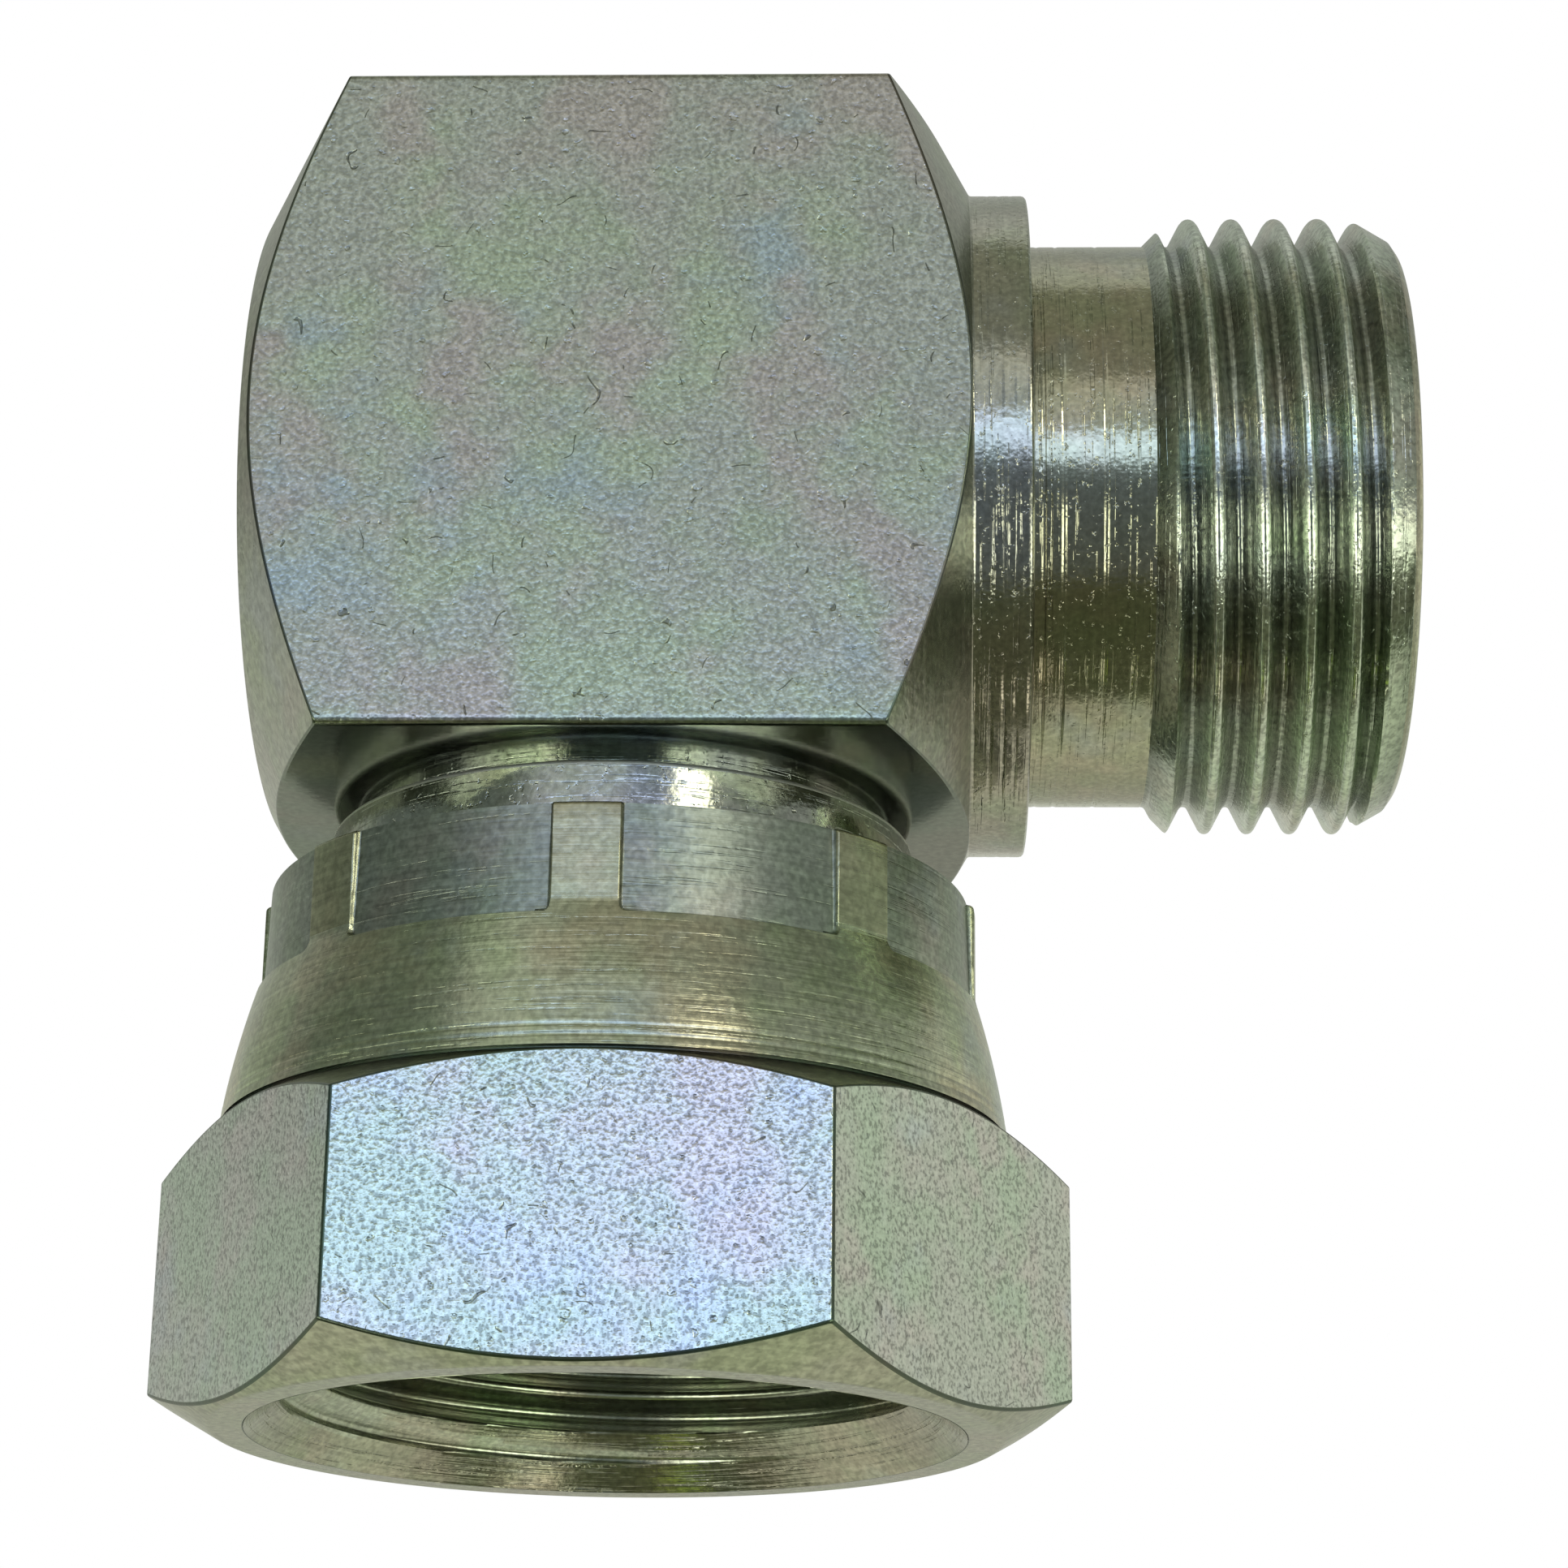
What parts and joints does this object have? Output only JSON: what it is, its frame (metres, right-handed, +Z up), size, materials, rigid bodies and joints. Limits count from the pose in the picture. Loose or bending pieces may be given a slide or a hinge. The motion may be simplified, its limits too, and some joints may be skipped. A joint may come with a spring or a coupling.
{
  "type": "hydraulic elbow fitting",
  "caption": "Right-angle block elbow for hydraulic lines, with a male threaded stud and a crimped swivel nut over a 60 degree cone nose.",
  "frame": {"origin": "on the nut's axis, in the plane of the nut's mouth, on which the part stands", "axes": "+Z up the nut's axis to the block, +X along the stud and out of it, -Y the side that the picture shows"},
  "size_m": [0.0509, 0.032, 0.0533],
  "materials": {
    "body_zinc": "zinc plate, pale blue to olive passivation, milled flats and turned stud",
    "tail_zinc": "zinc plate over a smooth turned surface",
    "nut_zinc": "zinc plate, grainy drawn flats and a finely turned skirt"
  },
  "bodies": {
    "elbow": {"elbow_body": "body_zinc", "swivel_tail": "tail_zinc"},
    "nut": {"swivel_nut": "nut_zinc"}
  },
  "joints": [
    {"name": "nut_swivel", "type": "hinge", "parent": "elbow", "child": "nut", "pos_m": [0, 0, 0.018], "axis": [0, 0, 1], "continuous": true}
  ]
}
